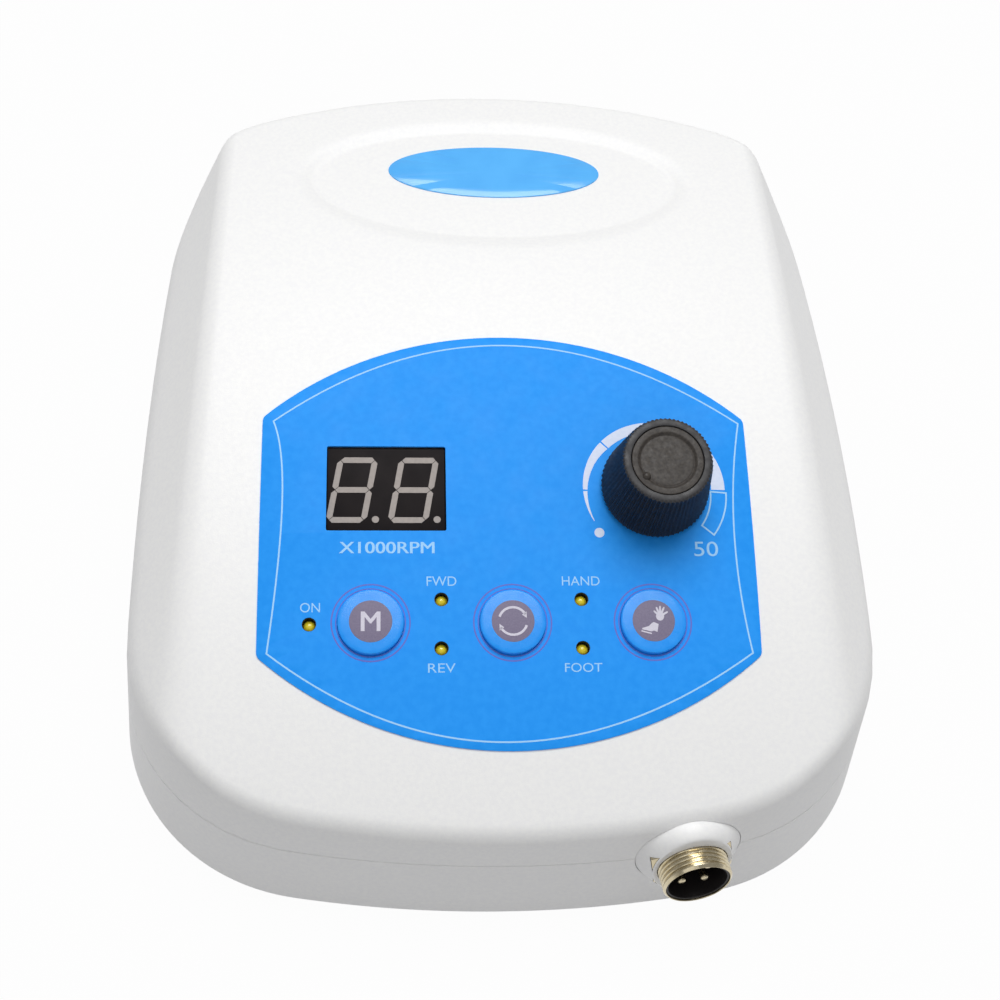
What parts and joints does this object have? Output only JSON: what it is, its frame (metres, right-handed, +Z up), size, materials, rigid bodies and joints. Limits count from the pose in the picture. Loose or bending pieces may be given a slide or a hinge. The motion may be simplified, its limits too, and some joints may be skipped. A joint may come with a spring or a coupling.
{
  "type": "dental laboratory micromotor control unit",
  "caption": "Desk-top control unit of a dental laboratory micromotor, with a digital display, push buttons, a speed knob and a round handpiece socket in its front wall.",
  "frame": {"origin": "on the ground under the middle of the overall box", "axes": "+Z up, -Y out of the front wall with the handpiece socket, +X to the right of someone in front of it"},
  "size_m": [0.1684, 0.1956, 0.0771],
  "materials": {
    "aluminium": "anodised",
    "black_plastic": "satin",
    "blue_print": "smooth",
    "circuit_green": "solder mask",
    "clear_silicone": "clear, glossy",
    "display_black": "smooth",
    "grey_plastic": "matte",
    "grey_rubber": "matte",
    "laminate": "varnished laminations",
    "lamp_yellow": "clear, tinted",
    "lead_grey": "matte",
    "nickel": "plated",
    "steel": "zinc plated",
    "white_abs": "satin, finely textured",
    "winding_tape": "taped"
  },
  "bodies": {
    "unit": {"badge_plate": "blue_print", "case_screw_front_left": "steel", "case_screw_front_right": "steel", "case_screw_rear_left": "steel", "case_screw_rear_right": "steel", "control_overlay": "blue_print", "controller_chip": "black_plastic", "direction_switch": "black_plastic", "display_board": "circuit_green", "display_module": "display_black", "filter_capacitor": "black_plastic", "foot_led": "lamp_yellow", "foot_socket_insert": "black_plastic", "foot_socket_nut": "nickel", "foot_socket_shell": "nickel", "forward_led": "lamp_yellow", "fuse_holder": "black_plastic", "hand_foot_switch": "black_plastic", "hand_led": "lamp_yellow", "heatsink": "aluminium", "lower_housing": "white_abs", "main_board": "circuit_green", "mains_inlet": "black_plastic", "mains_lead": "lead_grey", "mode_switch": "black_plastic", "motor_driver": "black_plastic", "motor_lead": "lead_grey", "on_led": "lamp_yellow", "plate_screw_left": "steel", "plate_screw_right": "steel", "potentiometer": "steel", "potentiometer_nut": "nickel", "rear_plate": "black_plastic", "relay": "display_black", "reverse_led": "lamp_yellow", "ribbon_cable": "lead_grey", "rubber_foot_front_left": "grey_rubber", "rubber_foot_front_right": "grey_rubber", "rubber_foot_rear_left": "grey_rubber", "rubber_foot_rear_right": "grey_rubber", "socket_collar": "white_abs", "socket_insert": "black_plastic", "socket_nut": "nickel", "socket_shell": "nickel", "switch_frame": "black_plastic", "transformer_bracket": "steel", "transformer_coil": "winding_tape", "transformer_core": "laminate", "upper_housing": "white_abs"},
    "speed_knob": {"speed_knob": "black_plastic", "knob_cap": "black_plastic", "knob_shaft": "aluminium"},
    "mode_key": {"mode_button": "clear_silicone", "mode_stem": "grey_plastic"},
    "direction_key": {"direction_button": "clear_silicone", "direction_stem": "grey_plastic"},
    "hand_foot_key": {"hand_foot_button": "clear_silicone", "hand_foot_stem": "grey_plastic"},
    "power_rocker": {"switch_rocker": "black_plastic"},
    "fuse_cap": {"fuse_cap": "black_plastic"}
  },
  "joints": [
    {"name": "speed_turn", "type": "hinge", "parent": "unit", "child": "speed_knob", "pos_m": [0.0312, -0.022, 0.0586], "axis": [0, 0.2872, -0.9579], "range_deg": [0, 270]},
    {"name": "mode_press", "type": "slide", "parent": "unit", "child": "mode_key", "axis": [0, 0.2872, -0.9579], "range_m": [0, 0.0005], "stiffness_N_per_m": 4000},
    {"name": "direction_press", "type": "slide", "parent": "unit", "child": "direction_key", "axis": [0, 0.2872, -0.9579], "range_m": [0, 0.0005], "stiffness_N_per_m": 4000},
    {"name": "hand_foot_press", "type": "slide", "parent": "unit", "child": "hand_foot_key", "axis": [0, 0.2872, -0.9579], "range_m": [0, 0.0005], "stiffness_N_per_m": 4000},
    {"name": "power_tilt", "type": "hinge", "parent": "unit", "child": "power_rocker", "pos_m": [0.0345, 0.08332, 0.0425], "axis": [1, 0, 0], "range_deg": [0, 18]},
    {"name": "fuse_turn", "type": "hinge", "parent": "unit", "child": "fuse_cap", "pos_m": [-0.0165, 0.08252, 0.0425], "axis": [0, -1, 0], "range_deg": [0, 90]}
  ]
}
